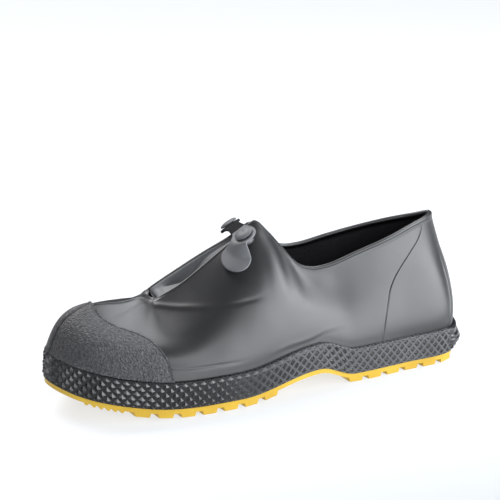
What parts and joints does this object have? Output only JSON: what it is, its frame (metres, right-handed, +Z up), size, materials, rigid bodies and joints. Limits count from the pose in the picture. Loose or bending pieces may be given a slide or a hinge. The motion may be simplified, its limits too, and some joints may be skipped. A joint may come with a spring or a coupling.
{
  "type": "overboot",
  "caption": "Low moulded overboot for the left foot: hollow upper with a buttoned instep strap and pull tab, grained toe cap, studded side band and lugged outsole.",
  "frame": {"origin": "on the floor under the middle of the bounding box, the boot standing on its sole", "axes": "+Z up, toe towards -X, heel towards +X, outer side of the left foot towards -Y"},
  "size_m": [0.3163, 0.1123, 0.1145],
  "materials": {
    "black_vinyl": "satin",
    "grained_vinyl": "fine stipple, matte",
    "band_vinyl": "satin",
    "yellow_vinyl": "satin"
  },
  "bodies": {
    "root": {"upper": "black_vinyl", "toe_cap": "grained_vinyl", "heel_stay": "black_vinyl", "gusset": "black_vinyl", "strap": "black_vinyl", "button_inner": "black_vinyl", "button_outer": "black_vinyl", "midsole": "band_vinyl", "outsole": "yellow_vinyl"}
  },
  "joints": []
}
